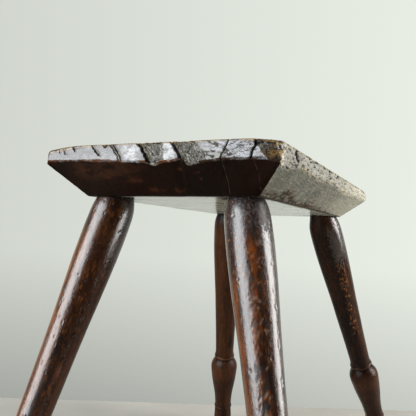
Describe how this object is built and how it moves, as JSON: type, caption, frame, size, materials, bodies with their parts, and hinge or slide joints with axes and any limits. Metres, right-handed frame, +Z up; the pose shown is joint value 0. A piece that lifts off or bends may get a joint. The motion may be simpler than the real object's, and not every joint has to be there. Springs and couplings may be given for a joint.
{
  "type": "joint stool",
  "caption": "Low country stool: thick slab seat with a long bevel under its edge, on splayed turned legs whose tenons pass through the seat and are wedged.",
  "frame": {"origin": "on the floor, under the middle of the box round the whole stool; the seat stands a little off that middle, because the legs lean unevenly", "axes": "+Z up, Y along the seat's long side and its grain, -Y the front end, +X the seat's right side"},
  "size_m": [0.3534, 0.6906, 0.435],
  "materials": {
    "seat": "worn, dull wax",
    "leg": "waxed, semi gloss",
    "wedge": "worn, dull wax"
  },
  "bodies": {
    "root": {"seat": "seat", "leg_front_left": "leg", "wedge_front_left": "wedge", "leg_front_right": "leg", "wedge_front_right": "wedge", "leg_back_left": "leg", "wedge_back_left": "wedge", "leg_back_right": "leg", "wedge_back_right": "wedge"}
  },
  "joints": []
}
